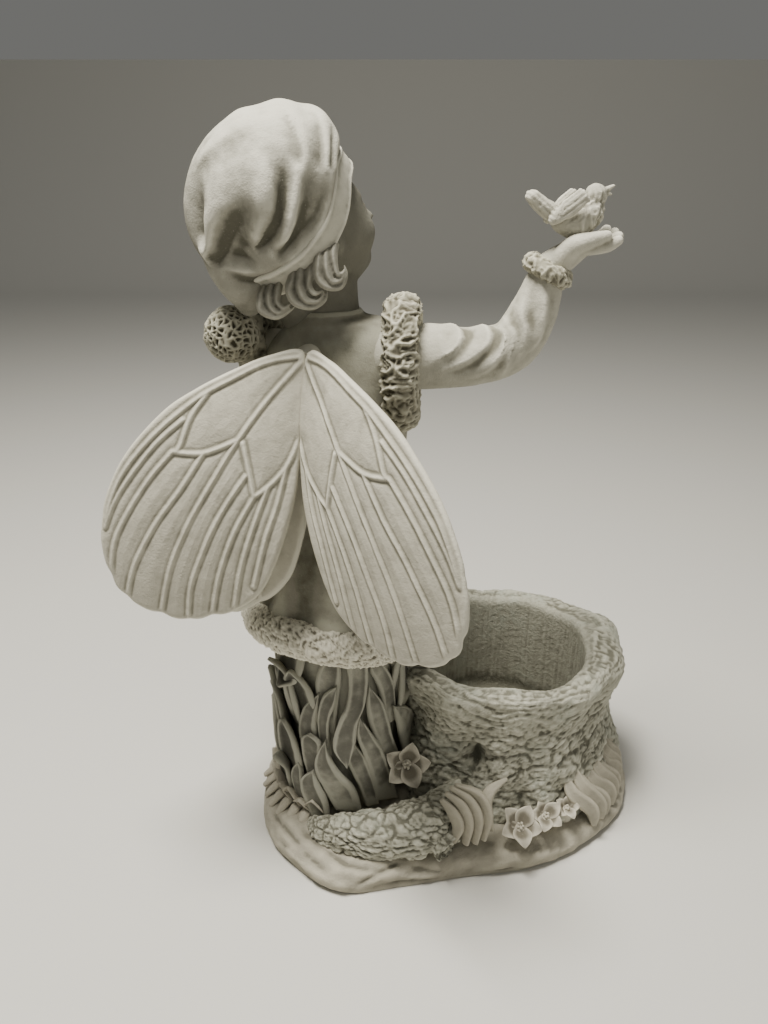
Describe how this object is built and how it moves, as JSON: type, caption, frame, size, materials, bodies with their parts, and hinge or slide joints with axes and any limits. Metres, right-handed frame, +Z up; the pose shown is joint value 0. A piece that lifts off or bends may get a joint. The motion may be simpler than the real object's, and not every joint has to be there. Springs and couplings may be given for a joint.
{
  "type": "seated pixie garden statue with hollow stump planter",
  "caption": "Cast-stone garden statue of a seated, winged pixie in a slouched hat, holding up a small bird beside a hollow tree stump that takes a plant.",
  "frame": {"origin": "middle of the flat underside", "axes": "+Z up; the figure's winged back faces -Y; the raised hand with the bird, and the stump, are towards +X"},
  "size_m": [0.4462, 0.3349, 0.6017],
  "materials": {
    "cast_stone": "matt, weathered pale grey with darker hollows"
  },
  "bodies": {
    "root": {"pixie_statue": "cast_stone"}
  },
  "joints": []
}
